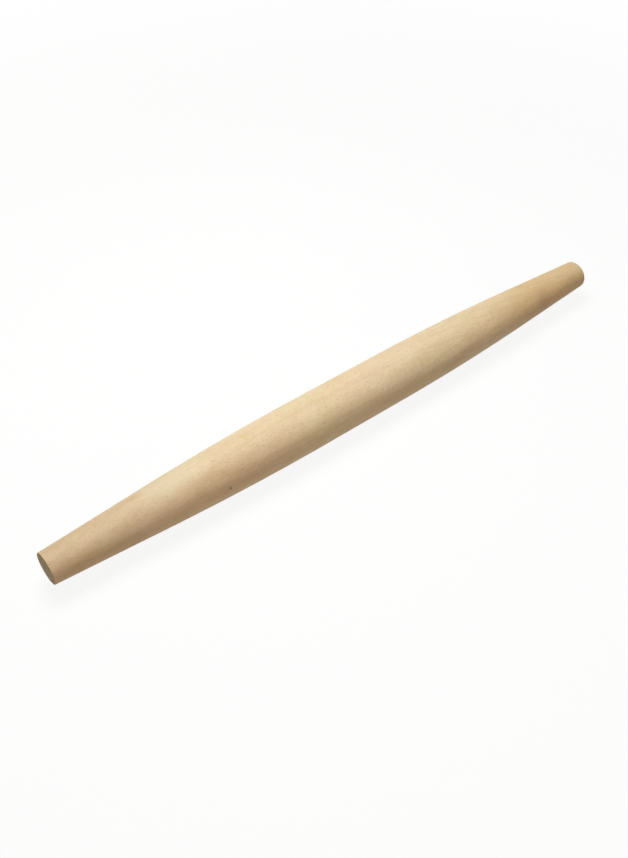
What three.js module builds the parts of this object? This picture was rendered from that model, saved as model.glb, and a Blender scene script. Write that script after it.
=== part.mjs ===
// A tapered pizza rolling pin, turned from a single length of beech.
//
// The pin has no handles, axle or bearings: the whole of it is one solid of revolution that rolls under
// the palms. Its outline is a barrel in the middle and a straight taper to each end. The shoulder where a
// taper leaves the barrel is sanded into one long soft curve. The ends are cut square and their rims eased.
//
// Units are millimetres and +Z is up. The pin lies along X on the plane Z = 0, its middle over the origin.

import * as THREE from "three";

// Driving dimensions
const PIN_LENGTH = 500;
const BELLY_DIAMETER = 40;
const END_DIAMETER = 23; // where the taper meets the plane of the end face, before the rim is eased
const BARREL_LENGTH = 208; // between the two places where the barrel's line and a taper's line cross
const SHOULDER_LENGTH = 134; // measured along the axis, half on the barrel and half on the taper
const RIM_RADIUS = 0.5;

// Fineness of the faceted surface
const SIDES = 30;
const SHOULDER_STEPS = 4;
const RIM_STEPS = 4;

// Sizes that follow from the driving dimensions
const bellyRadius = BELLY_DIAMETER / 2;
const endRadius = END_DIAMETER / 2;
const halfLength = PIN_LENGTH / 2;
const halfBarrel = BARREL_LENGTH / 2;
const taperPerMillimetre = (bellyRadius - endRadius) / (halfLength - halfBarrel);

const beech = new THREE.MeshStandardMaterial({ color: 0xdfc8a2, roughness: 0.6, metalness: 0 });

// The long curve from barrel to taper. Its control point is where the two straight lines cross, so the
// curve leaves the barrel along its line and arrives on the taper along its slope.
// In an outline, x is the distance from the pin's axis and y the distance from its middle.
function shoulderCurve() {
  const reach = SHOULDER_LENGTH / 2;
  return new THREE.QuadraticBezierCurve(
    new THREE.Vector2(bellyRadius, halfBarrel - reach),
    new THREE.Vector2(bellyRadius, halfBarrel),
    new THREE.Vector2(bellyRadius - taperPerMillimetre * reach, halfBarrel + reach),
  );
}

// The eased rim: an arc that touches both the taper and the flat end face.
function rimCurve() {
  const taperAngle = Math.atan(taperPerMillimetre);
  const centreRadius = endRadius + RIM_RADIUS * (taperPerMillimetre - 1 / Math.cos(taperAngle));
  const centreHeight = halfLength - RIM_RADIUS;
  return new THREE.EllipseCurve(
    centreRadius,
    centreHeight,
    RIM_RADIUS,
    RIM_RADIUS,
    taperAngle,
    Math.PI / 2,
  );
}

// The whole outline, from the centre of one end face to the centre of the other.
function pinOutline() {
  const upperHalf = [
    ...shoulderCurve().getPoints(SHOULDER_STEPS),
    ...rimCurve().getPoints(RIM_STEPS),
    new THREE.Vector2(0, halfLength),
  ];
  const lowerHalf = upperHalf.map((point) => new THREE.Vector2(point.x, -point.y)).reverse();
  return [...lowerHalf, ...upperHalf];
}

// The outline turned about the pin's axis. The middles of the flat facets lie on the true round surface,
// and one row of facets faces straight down, so the pin measures its full diameter and lies at rest.
function turnedPin() {
  const halfFacet = Math.PI / SIDES;
  const cornerScale = new THREE.Vector2(1 / Math.cos(halfFacet), 1);
  const corners = pinOutline().map((point) => point.multiply(cornerScale));
  const pin = new THREE.Mesh(new THREE.LatheGeometry(corners, SIDES, halfFacet), beech);
  pin.name = "tapered_pin";
  pin.rotation.z = -Math.PI / 2;
  pin.position.z = bellyRadius;
  return pin;
}

const rollingPin = new THREE.Group();
rollingPin.name = "pizza_rolling_pin";
rollingPin.add(turnedPin());

export default rollingPin;
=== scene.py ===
# %% [markdown]
# # A tapered pizza rolling pin in beech
#
# The pin is one length of beech, turned to a barrel that thins towards both ends. Nothing is fixed to it and
# nothing moves on it, so this lesson is about two things only: a clean turned surface, and a wood that is
# believable from across the table and from a hand's breadth away.
#
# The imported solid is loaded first. It gives the frame: metres, +Z up, the pin lying along X on the plane
# Z = 0. Its box also gives the two sizes that all the rest hangs on, the length and the thickness.

import math

import bpy
import numpy as np
from mathutils import Matrix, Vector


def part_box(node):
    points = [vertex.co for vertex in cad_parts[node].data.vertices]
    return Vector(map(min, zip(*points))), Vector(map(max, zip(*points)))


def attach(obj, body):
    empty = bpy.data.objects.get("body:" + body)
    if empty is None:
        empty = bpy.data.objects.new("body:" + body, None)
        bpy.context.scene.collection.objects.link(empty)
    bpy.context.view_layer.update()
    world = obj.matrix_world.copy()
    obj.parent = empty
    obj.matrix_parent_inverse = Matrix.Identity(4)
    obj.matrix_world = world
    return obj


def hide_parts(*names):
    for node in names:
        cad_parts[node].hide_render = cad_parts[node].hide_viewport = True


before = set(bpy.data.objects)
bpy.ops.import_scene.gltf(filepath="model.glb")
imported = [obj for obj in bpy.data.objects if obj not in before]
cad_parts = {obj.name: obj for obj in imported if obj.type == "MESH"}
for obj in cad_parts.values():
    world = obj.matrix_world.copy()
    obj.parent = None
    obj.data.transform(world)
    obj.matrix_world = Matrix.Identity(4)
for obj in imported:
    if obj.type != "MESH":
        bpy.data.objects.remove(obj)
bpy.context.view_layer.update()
scene = bpy.context.scene
DECIMALS = 6  # of a metre, which takes off the stored model's rounding errors
lowest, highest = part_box("tapered_pin")
HALF_LENGTH = round(highest.x, DECIMALS)
BELLY_RADIUS = round((highest.z - lowest.z) / 2, DECIMALS)
AXIS_HEIGHT = round((highest.z + lowest.z) / 2, DECIMALS)
print("half length", HALF_LENGTH, "m, belly radius", BELLY_RADIUS, "m, axis", AXIS_HEIGHT, "m up")

# %% [markdown]
# ## Camera
#
# The pin is seen from above and to one side, near end to the left, from about an arm's length away. A camera
# could be aimed with a constraint, but three unit vectors say the same thing with no guesswork: right, up and
# back. The lens comes from a focal length in pixels, because pixels can be measured in a picture.

# %% Camera
IMAGE_HEIGHT = 858  # pixels
FOCAL_PIXELS = 958.0
SENSOR_HEIGHT = 36.0  # millimetres
VIEW_AZIMUTH = math.radians(-38.68)
VIEW_ELEVATION = math.radians(44.74)
VIEW_DISTANCE = 0.7099
AIM_RIGHT, AIM_UP = -0.0275, -0.0224  # from the pin's middle to the middle of the picture

right = np.array([math.cos(VIEW_AZIMUTH), math.sin(VIEW_AZIMUTH), 0.0])
towards = np.array([math.sin(VIEW_AZIMUTH), -math.cos(VIEW_AZIMUTH), 0.0])
back = towards * math.cos(VIEW_ELEVATION) + np.array([0.0, 0.0, math.sin(VIEW_ELEVATION)])
up = np.cross(back, right)
pin_middle = np.array([0.0, 0.0, AXIS_HEIGHT])
aim = pin_middle + right * AIM_RIGHT + up * AIM_UP


def facing(right_way, up_way, back_way, place):
    """The matrix whose columns are three unit directions and a place. A camera or lamp looks against back."""
    columns = np.eye(4)
    columns[:3] = np.column_stack([right_way, up_way, back_way, place])
    return Matrix(columns.tolist())


camera_data = bpy.data.cameras.new("camera")
camera_data.sensor_fit = "VERTICAL"
camera_data.sensor_height = SENSOR_HEIGHT
camera_data.lens = SENSOR_HEIGHT * FOCAL_PIXELS / IMAGE_HEIGHT
camera = bpy.data.objects.new("camera", camera_data)
camera.matrix_world = facing(right, up, back, aim + back * VIEW_DISTANCE)
scene.collection.objects.link(camera)
scene.camera = camera
scene.view_settings.view_transform = "Standard"
print("lens", round(camera_data.lens, 2), "mm, from", [round(v, 3) for v in camera.matrix_world.translation])

# %% [markdown]
# ## Nodes written as sums
#
# A wood needs dozens of Math nodes, and a page of node calls hides the idea. One small class wraps an output
# socket, so that `1 - mask` or `a * b + c` adds the nodes by itself. Every other node comes from one method.

# %% Wires between nodes
class Wire:
    """One output socket of a node tree. Arithmetic on wires adds Math nodes; numbers alone stay numbers."""

    def __init__(self, tree, socket=None):
        self.tree = tree
        self.socket = socket

    def node(self, kind, settings=None, sockets=None, output=0):
        """Adds a node, sets its settings, then gives each named socket a value or a link."""
        made = self.tree.nodes.new(kind)
        for name, value in (settings or {}).items():
            setattr(made, name, value)
        for name, value in (sockets or {}).items():
            if isinstance(value, Wire):
                self.tree.links.new(value.socket, made.inputs[name])
            else:
                made.inputs[name].default_value = value
        return Wire(self.tree, made.outputs[output] if len(made.outputs) else None)

    def math(self, operation, *values):
        """A Math node on these values, each a wire or a number."""
        return self.node("ShaderNodeMath", {"operation": operation}, dict(enumerate(values)))

    def __add__(self, other):
        return self.math("ADD", self, other)

    def __sub__(self, other):
        return self.math("SUBTRACT", self, other)

    def __rsub__(self, other):
        return self.math("SUBTRACT", other, self)

    def __mul__(self, other):
        return self.math("MULTIPLY", self, other)

    def __truediv__(self, other):
        return self.math("DIVIDE", self, other)

    def __pow__(self, other):
        return self.math("POWER", self, other)

    __radd__ = __add__
    __rmul__ = __mul__

    def eased(self, low, high):
        """0 at low and 1 at high, with a soft start and stop. With low above high it falls instead."""
        sockets = {"Value": self, "From Min": low, "From Max": high}
        return self.node("ShaderNodeMapRange", {"interpolation_type": "SMOOTHSTEP"}, sockets)

    def vector(self, operation, *values, output=0):
        """A Vector Math node on these values, each a wire or three numbers."""
        return self.node("ShaderNodeVectorMath", {"operation": operation}, dict(enumerate(values)), output)

    def between(self, first, second):
        """This wire as a share between two colours: 0 gives the first, 1 the second."""
        return self.node("ShaderNodeMix", {"data_type": "RGBA"}, {0: self, 6: first, 7: second}, output=2)

    def blended(self, other, share, how="MIX"):
        """This colour with another laid over it. The share runs from 0, this colour alone, to 1."""
        settings = {"data_type": "RGBA", "blend_type": how}
        return self.node("ShaderNodeMix", settings, {0: share, 6: self, 7: other}, output=2)


def empty_tree(owner):
    """Clears the nodes of a material or a world and gives a wire to start from."""
    owner.use_nodes = True
    owner.node_tree.nodes.clear()
    return Wire(owner.node_tree)


print("Wire is ready")

# %% [markdown]
# ## Floor and surroundings
#
# The pin lies on a plain table that runs into a plain white background. Brightening the lamps until the floor
# clips would burn out the wood, so the white is put where only the eye sees it: for rays that come from the
# camera, or off a shiny surface, the floor is mostly a white of strength 1, with just enough of a painted
# floor left in it to keep the pin's soft shadow. That paint thins out away from the pin, so no horizon shows.
# For all other rays it is a plain pale floor, which throws a little light back up under the belly.

# %% Floor and surroundings
FLOOR_REACH = 8.0
FLOOR_PALE = (0.45, 0.45, 0.45, 1.0)
FLOOR_PAINT = (0.95, 0.95, 0.95, 1.0)
PAINT_SHARE = 0.10
PAINT_FULL, PAINT_GONE = 0.35, 1.0  # metres from the pin's middle
SURROUND_LIGHT = 0.05
WHITE = (1.0, 1.0, 1.0, 1.0)


def backdrop_ray(start):
    """1 for rays that show the surroundings: from the camera, off a glossy surface or through glass."""
    camera_ray = start.node("ShaderNodeLightPath", output="Is Camera Ray")
    glossy_ray = start.node("ShaderNodeLightPath", output="Is Glossy Ray")
    glass_ray = start.node("ShaderNodeLightPath", output="Is Transmission Ray")
    return camera_ray.math("MAXIMUM", camera_ray.math("MAXIMUM", camera_ray, glossy_ray), glass_ray)


floor_finish = bpy.data.materials.new("floor_white")
start = empty_tree(floor_finish)
pale = start.node("ShaderNodeBsdfDiffuse", {}, {"Color": FLOOR_PALE})
paint = start.node("ShaderNodeBsdfDiffuse", {}, {"Color": FLOOR_PAINT})
plain = start.node("ShaderNodeEmission", {}, {"Color": WHITE, "Strength": 1.0})
floor_place = start.node("ShaderNodeTexCoord", output="Object")
from_middle = start.vector("LENGTH", floor_place, output="Value")
paint_share = from_middle.eased(PAINT_GONE, PAINT_FULL) * PAINT_SHARE
backdrop = start.node("ShaderNodeMixShader", {}, {0: paint_share, 1: plain, 2: paint})
shown = start.node("ShaderNodeMixShader", {}, {0: backdrop_ray(start), 1: pale, 2: backdrop})
start.node("ShaderNodeOutputMaterial", {}, {"Surface": shown})

floor_mesh = bpy.data.meshes.new("floor")
floor_corners = FLOOR_REACH * np.array([[-1, -1, 0], [1, -1, 0], [1, 1, 0], [-1, 1, 0]])
floor_mesh.from_pydata(floor_corners.tolist(), [], [(0, 1, 2, 3)])
floor_mesh.materials.append(floor_finish)
floor = bpy.data.objects.new("floor", floor_mesh)
scene.collection.objects.link(floor)

scene.world = bpy.data.worlds.new("white_room")
start = empty_tree(scene.world)
glow = start.node("ShaderNodeBackground", {}, {"Color": WHITE, "Strength": SURROUND_LIGHT})
plain = start.node("ShaderNodeBackground", {}, {"Color": WHITE, "Strength": 1.0})
shown = start.node("ShaderNodeMixShader", {}, {0: backdrop_ray(start), 1: glow, 2: plain})
start.node("ShaderNodeOutputWorld", {}, {"Surface": shown})
print("floor", 2 * FLOOR_REACH, "m wide, surroundings at", SURROUND_LIGHT)

# %% [markdown]
# ## Lamps
#
# One broad soft box hangs over the pin, a little behind it and nearer its left end, close enough for the ends
# to fall off gently. That is how small wares are usually lit: the top is even and the front rolls into shade.
# A weaker and warmer panel stands low in front, so that the shade keeps its colour, and a fainter one like it
# stands behind. Two more stand at the ends, so that no side of the pin is lost in the dark. Each lamp is
# given by two angles and a distance from the pin's middle.

# %% Lamps
NEUTRAL, WARM = (1.0, 1.0, 1.0), (1.0, 0.70, 0.48)
LAMPS = {
    # turn about the pin's axis, from straight up towards the camera, and lean along +X, both in degrees,
    # then distance and size in metres, watts and colour
    "soft_box": (-12.5, -3.5, 0.80, (0.40, 0.40), 6.42, NEUTRAL),
    "front_panel": (70, -20, 1.10, (0.60, 0.30), 2.7, WARM),
    "back_panel": (-70, 0, 1.10, (0.60, 0.30), 1.2, WARM),
    "near_end_panel": (0, -80, 1.00, (0.40, 0.40), 0.25, NEUTRAL),
    "far_end_panel": (0, 80, 1.00, (0.40, 0.40), 0.80, NEUTRAL),
}


def hang_lamp(name, turn, lean, distance, size, watts, colour):
    """An area lamp on a ball round the pin's middle, looking at it."""
    turn, lean = math.radians(turn), math.radians(lean)
    away = np.array([
        math.sin(lean),
        -math.sin(turn) * math.cos(lean),
        math.cos(turn) * math.cos(lean),
    ])
    along = np.array([1.0, 0.0, 0.0]) - away * away[0]
    along /= np.linalg.norm(along)
    lamp_data = bpy.data.lights.new(name, "AREA")
    lamp_data.shape = "RECTANGLE"
    lamp_data.size, lamp_data.size_y = size
    lamp_data.energy = watts
    lamp_data.color = colour
    lamp = bpy.data.objects.new(name, lamp_data)
    lamp.matrix_world = facing(along, np.cross(away, along), away, pin_middle + away * distance)
    lamp.visible_camera = False
    scene.collection.objects.link(lamp)


for lamp_name, lamp_facts in LAMPS.items():
    hang_lamp(lamp_name, *lamp_facts)
print("lamps:", ", ".join(LAMPS))

# %% [markdown]
# ## Outline of the pin
#
# A turner follows a template, and the template has four stretches: a level barrel, a long soft shoulder, a
# straight taper and a rim that is just broken with the paper. The outline could be drawn as a curve and spun,
# but then its sizes would hide in handles. Written as a formula, each stretch is one line, and it is the same
# formula as the solid's.

# %% Outline of the pin
MILLIMETRES = 1000  # in a metre
END_RADIUS = 0.0115
BARREL_HALF = 0.104  # where the lines of the barrel and the taper would meet, the shoulder's middle
SHOULDER_LENGTH = 0.134
RIM_RADIUS = 0.0005
TAPER = (BELLY_RADIUS - END_RADIUS) / (HALF_LENGTH - BARREL_HALF)


def side_radius(along):
    """Radius of the turned side at a place along the axis.

    The barrel keeps the belly radius. On the shoulder a parabola is taken off it: the taper's slope times
    the distance into the shoulder squared, over twice the shoulder's length. Past the shoulder that has
    become the straight taper, which meets the end radius at the end face.
    """
    from_middle = np.abs(along)
    into = np.clip(from_middle - (BARREL_HALF - SHOULDER_LENGTH / 2), 0, SHOULDER_LENGTH)
    past = np.maximum(from_middle - (BARREL_HALF + SHOULDER_LENGTH / 2), 0)
    return BELLY_RADIUS - TAPER * (into**2 / (2 * SHOULDER_LENGTH) + past)


for station in (0.0, BARREL_HALF, HALF_LENGTH):
    print("radius at", station, "m:", round(float(side_radius(station)) * MILLIMETRES, 2), "mm")

# %% [markdown]
# ## The turned surface
#
# The surface is a grid: stations along the outline, and turns round the axis. A perfect lathe would give a
# perfect ring at each station, but wood moves as it dries and sanding is done by hand, so each ring is a hair
# out of round, the length has shallow waves and the rims are eased more in one place than in another. All of
# that is a tenth of a millimetre or so and only ever takes wood away, so the pin stays in the solid's box.

# %% The turned surface
TURNS = 240
STRIP_LENGTH = HALF_LENGTH / 2  # where the stations change their spacing
STRIP_STATIONS = 80
RIM_STATIONS = 7
FACE_STATIONS = 12
RIM_UNEVEN = 0.35  # share of the rim radius
OUT_OF_ROUND = 0.00007
WAVE_DEPTH = 0.00006
LONG_WAVE, MIDDLE_WAVE, SHORT_WAVE = 0.070, 0.041, 0.027
turn = np.linspace(0, 2 * np.pi, TURNS, endpoint=False)


def half_outline(rim):
    """Stations of one half, from the middle out to the end face, for a rim radius given at each turn.

    The eased rim is an arc whose centre lies a rim radius inside both the taper and the end face. The side
    stations stretch to the arc's start, and the face stations shrink from the arc's stop to the axis.
    """
    slant = math.atan(TAPER)
    arc_radius = END_RADIUS + rim * (TAPER - 1 / math.cos(slant))
    arc_along = HALF_LENGTH - rim
    swing = np.linspace(slant, np.pi / 2, RIM_STATIONS)[:, None]
    rim_along = arc_along + rim * np.sin(swing)
    rim_radius = arc_radius + rim * np.cos(swing)
    inner = np.repeat(np.linspace(0, STRIP_LENGTH, STRIP_STATIONS)[:, None], TURNS, axis=1)
    stretch = np.linspace(0, 1, STRIP_STATIONS)[1:-1, None]
    outer = STRIP_LENGTH + stretch * (rim_along[0] - STRIP_LENGTH)
    side_along = np.concatenate([inner, outer])
    shrink = np.linspace(1, 0, FACE_STATIONS + 1)[1:-1, None]
    along = np.concatenate([side_along, rim_along, np.full((FACE_STATIONS - 1, TURNS), HALF_LENGTH)])
    radius = np.concatenate([side_radius(side_along), rim_radius, shrink * rim_radius[-1]])
    return along, radius


def rim_at(phase):
    """The rim radius round an end: two slow swells on the mean radius, shifted by the phase."""
    swell = 0.6 * np.sin(2 * turn + phase) + 0.4 * np.sin(3 * turn + 2.1 * phase)
    return RIM_RADIUS * (1 + RIM_UNEVEN * swell)


far_along, far_radius = half_outline(rim_at(phase=0.7))
near_along, near_radius = half_outline(rim_at(phase=2.9))
along = np.concatenate([-near_along[:0:-1], far_along])
radius = np.concatenate([near_radius[:0:-1], far_radius])


def wood_lost(along, turn):
    """How much wood is missing at each point, between nothing and the sum of the two depths.

    The section is flattened, with its short axis slowly twisting along the length. Three waves that wind
    round the pin add up to shallow hollows from sanding. The loose numbers only shift them sideways.
    """
    flattened = (1 + np.cos(2 * turn + 0.9 + 3 * along)) / 2
    waves = (
        np.sin(2 * np.pi * along / LONG_WAVE + 1.3 + np.sin(turn + 0.4))
        + np.sin(2 * np.pi * along / MIDDLE_WAVE + 2 * turn)
        + np.sin(2 * np.pi * along / SHORT_WAVE - 3 * turn + 1.9)
    )
    return OUT_OF_ROUND * flattened + WAVE_DEPTH * (3 + waves) / 6


on_side = np.clip(radius / END_RADIUS, 0, 1)
radius = radius - wood_lost(along, turn) * on_side
points = np.stack([along, -radius * np.sin(turn), AXIS_HEIGHT + radius * np.cos(turn)], axis=-1)
print("grid of", points.shape[0], "stations by", TURNS, "turns, lowest point", points[..., 2].min())

# %% [markdown]
# ## From grid to mesh
#
# Neighbouring stations and turns make the quads, and the last turn joins the first. Each end face closes on
# one point at the axis, so the pin is a single closed skin with no seam.

# %% From grid to mesh
stations = points.shape[0]
corner = np.arange(stations * TURNS).reshape(stations, TURNS)
next_turn = np.roll(corner, -1, axis=1)
quads = np.stack([corner[:-1], next_turn[:-1], next_turn[1:], corner[1:]], axis=-1).reshape(-1, 4)
near_pole, far_pole = stations * TURNS, stations * TURNS + 1
near_fan = np.stack([np.full(TURNS, near_pole), next_turn[0], corner[0]], axis=-1)
far_fan = np.stack([np.full(TURNS, far_pole), corner[-1], next_turn[-1]], axis=-1)
poles = [[-HALF_LENGTH, 0, AXIS_HEIGHT], [HALF_LENGTH, 0, AXIS_HEIGHT]]
vertices = np.concatenate([points.reshape(-1, 3), poles])

pin_mesh = bpy.data.meshes.new("turned_pin")
pin_mesh.from_pydata(vertices.tolist(), [], quads.tolist() + near_fan.tolist() + far_fan.tolist())
pin_mesh.shade_smooth()
pin = bpy.data.objects.new("turned_pin", pin_mesh)
scene.collection.objects.link(pin)
print(len(pin_mesh.vertices), "vertices,", 2 * len(quads) + 2 * TURNS, "triangles")

# %% [markdown]
# ## A flat map of the surface
#
# The wood below needs no flat map, but whoever bakes it into a picture does. Left to itself Blender would cut
# a long thin pin into many scraps. Here the length is cut into four strips laid two by two, with the two ends
# as discs above them, so that the picture is spent evenly.

# %% A flat map of the surface
MAP_EDGE = 0.004  # this and the sizes below are shares of the map's width
STRIP_WIDE, STRIP_HIGH = 0.5, 0.43
END_SPAN = 0.14
END_HEIGHT = 0.93
NEAR_END, FAR_END = 0.25, 0.75  # where the discs' centres lie across the map
END_ROWS = RIM_STATIONS + FACE_STATIONS - 2
disc_scale = (END_SPAN - 2 * MAP_EDGE) / (2 * (END_RADIUS + RIM_RADIUS))


def on_disc(centre, spread, angle):
    """A place on an end's disc, at a distance from its centre and a turn round it."""
    return np.stack([centre + spread * np.cos(angle), END_HEIGHT + spread * np.sin(angle)], axis=-1)


def flat_map():
    """Where each corner of each face lies on the flat map.

    Side strips are a plain unrolling: turn across, place along. Ends are laid out as discs, where a corner's
    distance from the disc's centre is its distance from the axis plus how far down the rim it lies.
    """
    rows = np.repeat(np.arange(stations - 1), TURNS)
    cols = np.tile(np.arange(TURNS), stations - 1)
    row = np.stack([rows, rows, rows + 1, rows + 1], axis=-1)
    col = np.stack([cols, cols + 1, cols + 1, cols], axis=-1)
    here = along[row, col % TURNS]
    strip = np.clip(np.floor(here.mean(axis=1, keepdims=True) / STRIP_LENGTH) + 2, 0, 3)
    across = MAP_EDGE + col / TURNS * (STRIP_WIDE - 2 * MAP_EDGE)
    down = MAP_EDGE + (here / STRIP_LENGTH + 2 - strip) * (STRIP_HIGH - 2 * MAP_EDGE)
    side = np.stack([across + STRIP_WIDE * (strip % 2), down + STRIP_HIGH * (strip // 2)], axis=-1)
    spread = (radius[row, col % TURNS] + HALF_LENGTH - np.abs(here)) * disc_scale
    disc = on_disc(np.where(here < 0, NEAR_END, FAR_END), spread, 2 * np.pi * col / TURNS)
    is_end = (rows < END_ROWS) | (rows >= stations - 1 - END_ROWS)
    quad_map = np.where(is_end[:, None, None], disc, side)
    fan_angle = 2 * np.pi * np.stack([np.arange(TURNS), np.arange(TURNS) + 1], axis=-1) / TURNS
    fan_spread = radius[0].mean() * disc_scale
    near_hub = np.broadcast_to((NEAR_END, END_HEIGHT), (TURNS, 1, 2))
    far_hub = np.broadcast_to((FAR_END, END_HEIGHT), (TURNS, 1, 2))
    near = np.concatenate([near_hub, on_disc(NEAR_END, fan_spread, fan_angle[:, ::-1])], axis=1)
    far = np.concatenate([far_hub, on_disc(FAR_END, fan_spread, fan_angle)], axis=1)
    return np.concatenate([part.reshape(-1, 2) for part in (quad_map, near, far)])


flat_places = flat_map()
layer = pin_mesh.uv_layers.new(name="OFBake")
layer.uv.foreach_set("vector", flat_places.ravel().astype(np.float32))
print("flat map from", flat_places.min(axis=0).round(3), "to", flat_places.max(axis=0).round(3))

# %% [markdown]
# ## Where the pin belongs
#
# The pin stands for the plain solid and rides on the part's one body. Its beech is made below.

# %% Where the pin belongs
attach(pin, "root")
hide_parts("tapered_pin")
print("turned_pin rides on root")

# %% [markdown]
# ## Beech, from the tree outwards
#
# A picture of wood wrapped round a pin gives itself away at the ends. So the wood here is solid: every point
# of space has a colour, and the pin shows whatever its surface cuts through, long grain on the side and rings
# on the ends, and they agree. First the point is put in millimetres from the pin's axis, then in the tree's
# own terms: how far from the heart of the trunk, and in which direction.

# %% Place in the tree
TREE_TILT = (0.0, math.radians(0.9), math.radians(-0.6))
HEART_PLACE = (0.0, 35.0, -51.0)  # millimetres from the pin's axis, behind it and below
HEART_DISTANCE = math.hypot(*HEART_PLACE)

wood = bpy.data.materials.new("turned_beech")
start = empty_tree(wood)
object_place = start.node("ShaderNodeTexCoord", output="Object")
axis_drop = (0.0, 0.0, -MILLIMETRES * AXIS_HEIGHT)
place = start.node(
    "ShaderNodeMapping",
    {"vector_type": "POINT"},
    {"Vector": object_place, "Location": axis_drop, "Scale": (MILLIMETRES, MILLIMETRES, MILLIMETRES)},
)
tree_place = start.node(
    "ShaderNodeMapping",
    {"vector_type": "POINT"},
    {"Vector": place, "Location": tuple(-v for v in HEART_PLACE), "Rotation": TREE_TILT},
)


def parts_of(vector):
    """The three numbers of a vector as wires."""
    return [vector.node("ShaderNodeSeparateXYZ", {}, {0: vector}, output=k) for k in range(3)]


def joined(first, second, third):
    """Three wires as one vector."""
    return first.node("ShaderNodeCombineXYZ", {}, {0: first, 1: second, 2: third})


def noise(vector, detail=2.0):
    """Soft noise, 0 to 1, in blobs about one unit of the vector across."""
    return vector.node("ShaderNodeTexNoise", {}, {"Vector": vector, "Scale": 1.0, "Detail": detail})


def grain_noise(vector, long, wide, detail=2.0):
    """Soft noise, 0 to 1, in blobs about so many millimetres long on X and wide on the other two axes."""
    return noise(vector.vector("MULTIPLY", vector, (1 / long, 1 / wide, 1 / wide)), detail)


pin_x, pin_y, pin_z = parts_of(place)
trunk_x, trunk_y, trunk_z = parts_of(tree_place)
from_axis = (pin_y * pin_y + pin_z * pin_z) ** 0.5
from_heart = (trunk_y * trunk_y + trunk_z * trunk_z) ** 0.5
round_heart = from_heart.math("ARCTAN2", trunk_y, trunk_z) * HEART_DISTANCE
print("heart of the trunk", round(HEART_DISTANCE), "mm from the pin's axis")

# %% [markdown]
# ### Growth rings
#
# Each year the tree lays down pale wood and closes with a thin darker line. Rings are the distance from the
# heart counted in years: the part after the point runs from 0 to 1 through a year, and its fourth power is
# nothing until the year is nearly over. The distance wanders a little along the trunk, so lines never run
# dead straight, good and poor years bring the rings closer or farther apart, and each year has its own
# strength.

# %% Growth rings
YEAR = 2.6  # millimetres
WANDER = 2.2  # millimetres by which a ring strays along the trunk
YEARS_APART = 2.4  # millimetres by which good and poor years shift the rings
FAINTEST_YEAR = 0.3
wander = grain_noise(tree_place, long=150.0, wide=22.0, detail=3.0) - 0.5
slow_years = grain_noise(tree_place, long=4000.0, wide=9.0, detail=1.0) - 0.5
years = (from_heart + wander * WANDER + slow_years * YEARS_APART) / YEAR
year_part = years.math("FRACT", years)
year_number = years.math("FLOOR", years)
year_strength = years.node("ShaderNodeTexWhiteNoise", {"noise_dimensions": "1D"}, {"W": year_number})
late_wood = year_part**4 * (year_strength * (1 - FAINTEST_YEAR) + FAINTEST_YEAR)
print("rings", YEAR, "mm apart on average")

# %% [markdown]
# ### Rays
#
# Beech is known by its rays: thin sheets of cells that run from the heart to the bark. Cut across they are
# short dark dashes, cut along they are broad flakes, and on the end grain they are fine spokes. One rule
# gives all three: scattered cells, squeezed so that each is tall along the trunk, thin round it and deep
# towards it. The dashes show most where the cut is flat, that is where the pin faces straight away from the
# heart or towards it, and fade into the wood where the cut runs along the rays.

# %% Rays
BROAD_CELL = {"tall": 4.0, "thin": 0.55, "deep": 11.0}  # millimetres
FINE_CELL = {"tall": 1.4, "thin": 0.22, "deep": 5.5}
BROAD_EDGE, FINE_EDGE = (0.36, 0.16), (0.40, 0.15)  # where a ray starts and is full, in cells from its seed


def scattered(tall, thin, deep):
    """Distance to the nearest of many scattered seeds, in cells so tall, thin and deep in millimetres."""
    cell = joined(trunk_x / tall, round_heart / thin, from_heart / deep)
    settings = {"feature": "F1", "voronoi_dimensions": "3D"}
    return start.node("ShaderNodeTexVoronoi", settings, {"Vector": cell, "Scale": 1.0, "Randomness": 1.0})


broad_rays = scattered(**BROAD_CELL).eased(*BROAD_EDGE)
fine_rays = scattered(**FINE_CELL).eased(*FINE_EDGE)
# the cosine between straight out of the pin and straight away from the heart
facing_heart = (pin_y * trunk_y + pin_z * trunk_z) / (from_axis * from_heart)
flat_cut = facing_heart**4
print("rays in cells of", BROAD_CELL, "and", FINE_CELL, "mm")

# %% [markdown]
# ### Fibres, pores and figure
#
# Between rings and rays lies the plain stuff: fibres that run the whole length in faint streaks, and pores
# like pin scratches. Over it all goes the figure, which is what the eye takes in from a step away: clouds
# almost a hand long, patches as long as a thumb is wide, and small flakes, each a shade deeper or a shade
# pinker than the next.

# %% Fibres, pores and figure
PORE_EDGE = (0.70, 0.82)  # only the noise's peaks are pores
DEPTH_RANGE = (0.40, 1.00)
PINK_RANGE = (0.30, 0.70)
streaks = grain_noise(tree_place, long=70.0, wide=0.9, detail=3.0)
fibres = grain_noise(tree_place, long=9.0, wide=0.28)
pores = grain_noise(tree_place, long=3.5, wide=0.16, detail=0.0).eased(*PORE_EDGE)
clouds = grain_noise(tree_place, long=80.0, wide=16.0)
patches = grain_noise(place, long=17.0, wide=8.0)
flakes = grain_noise(place, long=5.2, wide=3.3)
depth = (clouds * 0.5 + patches * 0.5 + flakes * 0.4).eased(*DEPTH_RANGE)
pink_patches = grain_noise(place, long=13.0, wide=9.0)
pink_clouds = grain_noise(tree_place, long=60.0, wide=20.0)
pinkness = (pink_patches * 0.5 + pink_clouds * 0.5).eased(*PINK_RANGE)
print(len(wood.node_tree.nodes), "nodes so far")

# %% [markdown]
# ### Marks of its own
#
# No two pins are alike. This one has a pin knot low on the front, two specks and three short dashes. Each is
# an oval given by its place along the pin, its turn round it and its two half sizes, with a ragged edge.

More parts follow.
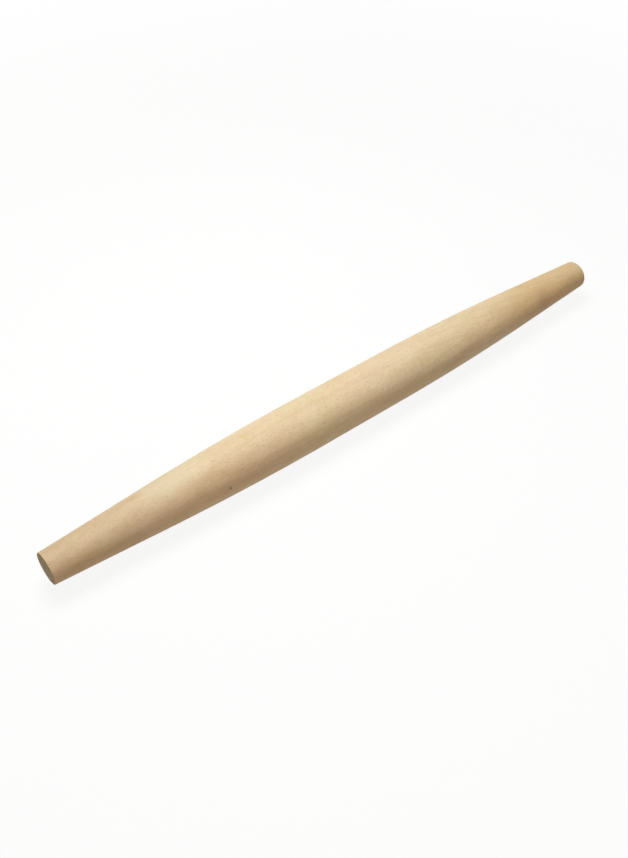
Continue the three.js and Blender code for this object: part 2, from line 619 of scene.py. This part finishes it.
# %% Marks of its own
RAG = 0.3  # share of the half sizes over which an edge is ragged
ragged = grain_noise(place, long=1.6, wide=0.8) - 0.5


def oval(along, turn_degrees, half_long, half_round, soft=0.4):
    """1 inside an oval on the side of the pin, 0 outside. Places and sizes are in millimetres.

    The distance from the oval's seat on the surface is counted in half sizes, so that it is 1 on the edge,
    and some rag is added. The mark is full at 1 less the softness and gone at 1 plus the softness.
    """
    turned = math.radians(turn_degrees)
    reach = MILLIMETRES * float(side_radius(along / MILLIMETRES))
    seat = (along, -reach * math.sin(turned), reach * math.cos(turned))
    offset = place.vector("SUBTRACT", place, seat)
    squeezed = place.vector("MULTIPLY", offset, (1 / half_long, 1 / half_round, 1 / half_round))
    distance = place.vector("LENGTH", squeezed, output="Value") + ragged * RAG
    return distance.eased(1 + soft, 1 - soft)


knot = oval(-121.7, 84.3, 0.8, 1.1)
specks = oval(-38.6, 55.8, 0.45, 0.55) + oval(145.6, 88.0, 0.5, 0.7)
dashes = oval(-124.2, 10.9, 2.0, 0.6) + oval(136.4, 37.3, 0.9, 0.5) + oval(132.3, 34.8, 1.2, 0.4)
print("a knot, two specks and three dashes")

# %% [markdown]
# ### Stains and clouds
#
# Wider and softer than the marks are places where the wood just has another tint: the knot's halo, stained
# spots, a pale stretch of the near taper and a peach cloud over the middle. The other clouds, 50 to 120 mm
# long, lie along the band where the lit top turns into shade, and they paint light and shade there: a darker,
# redder cloud is painted shade on the near shoulder, tan clouds are painted shade towards the far end, and a
# paler cloud is painted light where the top turns into shade near the middle, with a paler, bluer patch in
# the shade past it. Noise would give clouds too, but anywhere. These are ovals again, with softer edges, so
# each lies where it should.

# %% Stains and clouds
SPOT_SOFT, STAIN_SOFT, CLOUD_SOFT = 0.6, 0.7, 0.8
knot_halo = oval(-123.2, 86.8, 3.6, 2.4, STAIN_SOFT)
yellow_spot = oval(-94.9, -4.1, 3.0, 2.2, SPOT_SOFT)
olive_band = oval(56.6, 44.8, 1.6, 5.0, SPOT_SOFT)
pink_spot = oval(229.7, -2.7, 3.0, 2.0, SPOT_SOFT)
stains = oval(-183.2, -19.8, 5.0, 3.2, STAIN_SOFT) + oval(185.6, -18.7, 3.6, 2.2, STAIN_SOFT)
pale_patch = oval(-156.9, -4.0, 24.0, 8.0, STAIN_SOFT)
brown_band = oval(195.6, 57.9, 6.0, 8.0, CLOUD_SOFT)
# painted shade: a darker, redder cloud along the shaded band of the near shoulder
red_painted_shade = oval(-118.0, 62.0, 45.0, 10.0, CLOUD_SOFT)
peach_cloud = oval(38.0, 5.0, 48.0, 8.0, CLOUD_SOFT)
# painted light: the first cloud lifts the band where the lit top turns into shade; the second is a paler,
# bluer patch in the shade
pale_and_painted_light_clouds = oval(-28.0, 33.0, 45.0, 6.0, CLOUD_SOFT) + oval(82.0, 61.0, 30.0, 5.0, CLOUD_SOFT)
# painted shade: warmer, slightly darker clouds along the shaded band towards the far end
tan_painted_shade = oval(155.0, 52.0, 60.0, 9.0, CLOUD_SOFT) + oval(215.0, 56.0, 25.0, 5.0, CLOUD_SOFT)
print(len(wood.node_tree.nodes), "nodes so far")

# %% [markdown]
# ### Darker tapers
#
# The tapers are a shade darker and tanner than the barrel. The tint comes on slowly, from the outer part of
# the shoulder to about halfway down the taper. The two ends aren't tinted alike.

# %% Darker tapers
TAPER_TINT_FROM, TAPER_TINT_FULL = 130.0, 205.0  # millimetres from the middle
near_taper_share = pin_x.eased(-TAPER_TINT_FROM, -TAPER_TINT_FULL)
far_taper_share = pin_x.eased(TAPER_TINT_FROM, TAPER_TINT_FULL)
print("taper tint from", TAPER_TINT_FROM, "mm out")

# %% [markdown]
# ### End grain
#
# On the two ends the fibres are cut across and drink in light, so the wood is darker and duller there, the
# rings and rays show more, and the saw and sanding block leave faint circles.

# %% End grain
END_START, END_FULL = 0.40, 0.08  # millimetres in from the end faces
CIRCLE_STEP, CIRCLE_RUN = 0.45, 9.0  # millimetres across a circle's line and along it
end_face = MILLIMETRES * HALF_LENGTH
end_grain = pin_x.math("ABSOLUTE", pin_x).eased(end_face - END_START, end_face - END_FULL)
end_circles = noise(joined(from_axis / CIRCLE_STEP, pin_y / CIRCLE_RUN, pin_z / CIRCLE_RUN))


def side_or_end(side, end):
    """One value on the turned side, another on the end grain: each times its share."""
    return side * (1 - end_grain) + end * end_grain


print("end grain starts", END_START, "mm from the end faces")

# %% [markdown]
# ### Colour of the wood
#
# The layers are laid over one another from the broadest to the finest, each of them faint. Beech is a quiet
# wood, and the sum of many faint layers is what makes it look like itself.

# %% Colour of the wood
PALE_BEECH = (0.790, 0.660, 0.440, 1.0)
DEEP_BEECH = (0.700, 0.555, 0.330, 1.0)
GREENISH = (0.980, 1.014, 0.970, 1.0)
PINKISH = (1.020, 0.980, 1.015, 1.0)
LATE_WOOD = (0.600, 0.440, 0.245, 1.0)
RAY_BROWN = (0.420, 0.275, 0.140, 1.0)
LATE_ON_SIDE, LATE_ON_END = 0.38, 1.00
RAYS_ALONG, RAYS_ON_END = 0.25, 0.50  # against 1 where the cut is flat
BROAD_SHARE, FINE_SHARE = 0.38, 0.14

colour = depth.between(PALE_BEECH, DEEP_BEECH)
colour = colour.blended(pinkness.between(GREENISH, PINKISH), 1.0, "MULTIPLY")
colour = colour.blended(LATE_WOOD, late_wood * side_or_end(LATE_ON_SIDE, LATE_ON_END))
ray_share = side_or_end(RAYS_ALONG + flat_cut * (1 - RAYS_ALONG), RAYS_ON_END)
colour = colour.blended(RAY_BROWN, (broad_rays * BROAD_SHARE + fine_rays * FINE_SHARE) * ray_share)
grey = 0.94 + streaks * 0.05 + fibres * 0.07 - pores * 0.06 - late_wood * end_grain * 0.25
colour = colour.blended(grey, 1.0, "MULTIPLY")
print(len(wood.node_tree.nodes), "nodes so far")

# %% [markdown]
# ### Tints and marks
#
# The tints of the tapers and the clouds, painted shade and light among them, are multiplied into the wood, so
# its grain goes on through them.
# Stains and marks are laid over it like thin paint, and the ends are dulled last.

# %% Tints and marks
NEAR_TINT = (0.890, 0.840, 0.830, 1.0)
FAR_TINT = (0.955, 0.870, 0.750, 1.0)
# tint of the painted shade on the near shoulder
RED_SHADE_TINT = (0.940, 0.880, 0.860, 1.0)
PEACH_TINT = (1.030, 1.010, 1.095, 1.0)
# tint of the painted light where the top turns into shade, and of the paler patch in the shade
PALE_AND_LIGHT_TINT = (1.065, 1.075, 1.115, 1.0)
# tint of the painted shade towards the far end
TAN_SHADE_TINT = (1.000, 0.965, 0.880, 1.0)
END_TINT = (0.850, 0.845, 0.775, 1.0)
CREAM = (0.740, 0.660, 0.455, 1.0)
OLIVE_YELLOW = (0.660, 0.530, 0.230, 1.0)
STAIN = (0.620, 0.420, 0.250, 1.0)
KNOT_BROWN = (0.150, 0.075, 0.035, 1.0)

# the tapers darker and tanner towards each end
colour = colour.blended(NEAR_TINT, near_taper_share, "MULTIPLY")
colour = colour.blended(FAR_TINT, far_taper_share, "MULTIPLY")
# painted shade on the near shoulder
colour = colour.blended(RED_SHADE_TINT, red_painted_shade, "MULTIPLY")
colour = colour.blended(PEACH_TINT, peach_cloud, "MULTIPLY")
# painted light where the top turns into shade, and a paler patch in the shade
colour = colour.blended(PALE_AND_LIGHT_TINT, pale_and_painted_light_clouds, "MULTIPLY")
# painted shade towards the far end
colour = colour.blended(TAN_SHADE_TINT, tan_painted_shade, "MULTIPLY")
colour = colour.blended(CREAM, pale_patch * 0.45)
colour = colour.blended(OLIVE_YELLOW, yellow_spot * 0.50 + olive_band * 0.35)
colour = colour.blended(STAIN, stains * 0.45 + brown_band * 0.65 + knot_halo * 0.35 + pink_spot * 0.20)
colour = colour.blended(KNOT_BROWN, knot * 0.65 + specks * 0.45 + dashes * 0.20)
colour = colour.blended(END_TINT, end_grain, "MULTIPLY")
print(len(wood.node_tree.nodes), "nodes so far")

# %% [markdown]
# ### Surface
#
# The pin is sanded and left bare, so it is satin: rough enough for no clear highlight, a touch smoother on
# the rays. Washing lifts the grain again in long low ridges and wider ripples, while pores and rays stay a
# hair below. The heights are added up in millimetres and a Bump node turns them into slope. Wide round bumps
# would make the pin look hammered: on wood, whatever is raised runs with the grain. Only the sanding lines
# run round the pin, because it turned against the paper.

# %% Surface
SANDING_STEP, SANDING_RUN = 0.30, 16.0  # millimetres across a sanding line and along it
RIDGE_HEIGHT, RIPPLE_HEIGHT, FIBRE_HEIGHT, SANDING_HEIGHT = 0.070, 0.160, 0.010, 0.008  # millimetres
PORE_DEPTH, RAY_DEPTH, KNOT_DEPTH = 0.012, 0.015, 0.150
CIRCLE_HEIGHT, RING_HEIGHT = 0.050, 0.020
SATIN = 0.60
BARE_SHINE = 0.25
sanding = noise(joined(pin_x / SANDING_STEP, pin_y / SANDING_RUN, pin_z / SANDING_RUN))
ridges = grain_noise(tree_place, long=11.0, wide=0.9)
ripples = grain_noise(tree_place, long=18.0, wide=3.2)
raised = ridges * RIDGE_HEIGHT + ripples * RIPPLE_HEIGHT + fibres * FIBRE_HEIGHT + sanding * SANDING_HEIGHT
sunk = pores * PORE_DEPTH + broad_rays * RAY_DEPTH + knot * KNOT_DEPTH
height = side_or_end(raised - sunk, end_circles * CIRCLE_HEIGHT + late_wood * RING_HEIGHT)
bump = start.node("ShaderNodeBump", {}, {"Strength": 1.0, "Distance": 1 / MILLIMETRES, "Height": height})
roughness = SATIN - broad_rays * 0.08 + (sanding - 0.5) * 0.10 + end_grain * 0.16

shader = start.node(
    "ShaderNodeBsdfPrincipled",
    {},
    {"Base Color": colour, "Roughness": roughness, "Specular IOR Level": BARE_SHINE, "Normal": bump},
)
start.node("ShaderNodeOutputMaterial", {}, {"Surface": shader})
pin_mesh.materials.append(wood)
print("beech has", len(wood.node_tree.nodes), "nodes")
